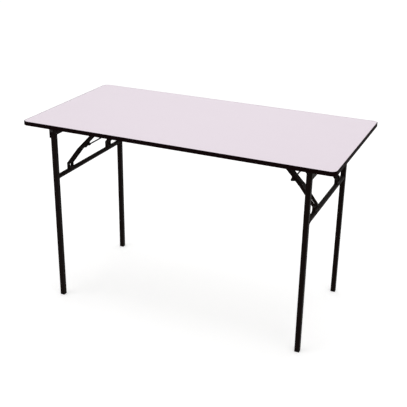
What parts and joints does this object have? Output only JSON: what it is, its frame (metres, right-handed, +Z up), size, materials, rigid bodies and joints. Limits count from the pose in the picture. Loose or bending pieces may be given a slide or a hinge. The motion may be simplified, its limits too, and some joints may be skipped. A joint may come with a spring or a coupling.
{
  "type": "folding office table",
  "caption": "Rectangular folding table: pale laminated board with dark edging on two inward-folding square-tube leg frames, each held by jointed braces and a release rod.",
  "frame": {"origin": "on the floor under the middle of the board", "axes": "+X along the board, +Y across it away from the front edge, +Z up"},
  "size_m": [1.226, 0.616, 0.75],
  "materials": {
    "laminate": "satin pale lavender white",
    "core": "raw particle board",
    "backing": "matt backing sheet",
    "edging": "satin black",
    "steel": "black powder coat",
    "zinc": "black zinc plated",
    "nylon": "moulded black nylon"
  },
  "bodies": {
    "tabletop": {"tabletop_laminate": "laminate", "tabletop_core": "core", "tabletop_backing": "backing", "edge_banding": "edging", "hinge_rail_left": "steel", "hinge_bracket_left_front": "steel", "hinge_pin_left_front": "zinc", "brace_bracket_left_front": "steel", "brace_pin_left_front": "zinc", "hinge_bracket_left_back": "steel", "hinge_pin_left_back": "zinc", "brace_bracket_left_back": "steel", "brace_pin_left_back": "zinc", "hinge_rail_right": "steel", "hinge_bracket_right_front": "steel", "hinge_pin_right_front": "zinc", "brace_bracket_right_front": "steel", "brace_pin_right_front": "zinc", "hinge_bracket_right_back": "steel", "hinge_pin_right_back": "zinc", "brace_bracket_right_back": "steel", "brace_pin_right_back": "zinc"},
    "leg_frame_left": {"crossbar_left": "steel", "leg_left_front": "steel", "leg_top_insert_left_front": "nylon", "foot_cap_left_front": "nylon", "brace_lug_left_front": "steel", "leg_left_back": "steel", "leg_top_insert_left_back": "nylon", "foot_cap_left_back": "nylon", "brace_lug_left_back": "steel"},
    "brace_upper_left": {"brace_upper_link_left_front": "steel", "brace_upper_link_left_back": "steel"},
    "brace_lower_left": {"knee_rod_left": "zinc", "brace_lower_link_left_front": "steel", "foot_rivet_outer_left_front": "zinc", "foot_rivet_inner_left_front": "zinc", "brace_lower_link_left_back": "steel", "foot_rivet_outer_left_back": "zinc", "foot_rivet_inner_left_back": "zinc"},
    "leg_frame_right": {"crossbar_right": "steel", "leg_right_front": "steel", "leg_top_insert_right_front": "nylon", "foot_cap_right_front": "nylon", "brace_lug_right_front": "steel", "leg_right_back": "steel", "leg_top_insert_right_back": "nylon", "foot_cap_right_back": "nylon", "brace_lug_right_back": "steel"},
    "brace_upper_right": {"brace_upper_link_right_front": "steel", "brace_upper_link_right_back": "steel"},
    "brace_lower_right": {"knee_rod_right": "zinc", "brace_lower_link_right_front": "steel", "foot_rivet_outer_right_front": "zinc", "foot_rivet_inner_right_front": "zinc", "brace_lower_link_right_back": "steel", "foot_rivet_outer_right_back": "zinc", "foot_rivet_inner_right_back": "zinc"}
  },
  "joints": [
    {"name": "leg_fold_right", "type": "hinge", "parent": "tabletop", "child": "leg_frame_right", "pos_m": [0.505, 0.011, 0.717], "axis": [0, 1, 0], "range_deg": [0, 90]},
    {"name": "brace_top_right", "type": "hinge", "parent": "tabletop", "child": "brace_upper_right", "pos_m": [0.3585, 0.011, 0.717], "axis": [0, 1, 0], "range_deg": [-46.5, 0]},
    {"name": "brace_knee_right", "type": "hinge", "parent": "brace_upper_right", "child": "brace_lower_right", "pos_m": [0.41922, 0.011, 0.63619], "axis": [0, 1, 0], "range_deg": [0, 186.7]},
    {"name": "leg_fold_left", "type": "hinge", "parent": "tabletop", "child": "leg_frame_left", "pos_m": [-0.505, -0.011, 0.717], "axis": [0, -1, 0], "range_deg": [0, 90]},
    {"name": "brace_top_left", "type": "hinge", "parent": "tabletop", "child": "brace_upper_left", "pos_m": [-0.3585, -0.011, 0.717], "axis": [0, -1, 0], "range_deg": [-46.5, 0]},
    {"name": "brace_knee_left", "type": "hinge", "parent": "brace_upper_left", "child": "brace_lower_left", "pos_m": [-0.41922, -0.011, 0.63619], "axis": [0, -1, 0], "range_deg": [0, 186.7]}
  ],
  "couplings": [
    {"joint": "brace_top_right", "follows": "leg_fold_right", "ratio": -0.51594},
    {"joint": "brace_knee_right", "follows": "leg_fold_right", "ratio": 2.0738},
    {"joint": "brace_top_left", "follows": "leg_fold_left", "ratio": -0.51594},
    {"joint": "brace_knee_left", "follows": "leg_fold_left", "ratio": 2.0738}
  ]
}
